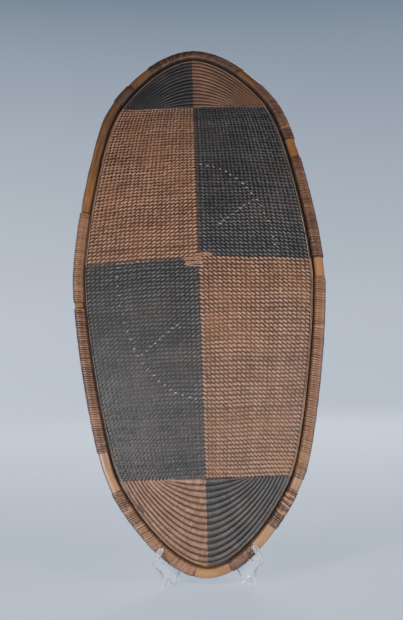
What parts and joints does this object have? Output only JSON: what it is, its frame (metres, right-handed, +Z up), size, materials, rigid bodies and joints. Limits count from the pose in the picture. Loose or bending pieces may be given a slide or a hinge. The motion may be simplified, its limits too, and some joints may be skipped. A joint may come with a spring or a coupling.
{
  "type": "woven fibre shield on a stand",
  "caption": "Bowed oval shield of twined fibre in chequered brown and black fields, with ribbed pointed tips, a bound cane rim and a back grip, standing in a clear plastic easel.",
  "frame": {"origin": "on the floor, under the middle of the whole object's box", "axes": "+Z up, the shield's front faces -Y, +X to the right seen from the front"},
  "size_m": [0.5016, 0.4334, 1.0993],
  "materials": {
    "twined_fibre": "dry twined fibre, natural brown and dyed black",
    "bare_cane": "smooth worn cane, satin",
    "cane_strip": "split cane strip, dark and satin",
    "grip_wood": "hand-worn wood, satin",
    "clear_plastic": "clear, glossy"
  },
  "bodies": {
    "root": {"woven_body": "twined_fibre", "rim_hoop": "bare_cane", "rim_binding_1": "cane_strip", "rim_binding_2": "cane_strip", "rim_binding_3": "cane_strip", "rim_binding_4": "cane_strip", "rim_binding_5": "cane_strip", "rim_binding_6": "cane_strip", "rim_binding_7": "cane_strip", "rim_binding_8": "cane_strip", "rim_binding_9": "cane_strip", "rim_binding_10": "cane_strip", "back_hoop": "bare_cane", "back_strut_upper_left": "bare_cane", "back_strut_upper_right": "bare_cane", "back_strut_lower_left": "bare_cane", "back_strut_lower_right": "bare_cane", "grip": "grip_wood", "stand_plate_left": "clear_plastic", "stand_plate_right": "clear_plastic"}
  },
  "joints": []
}
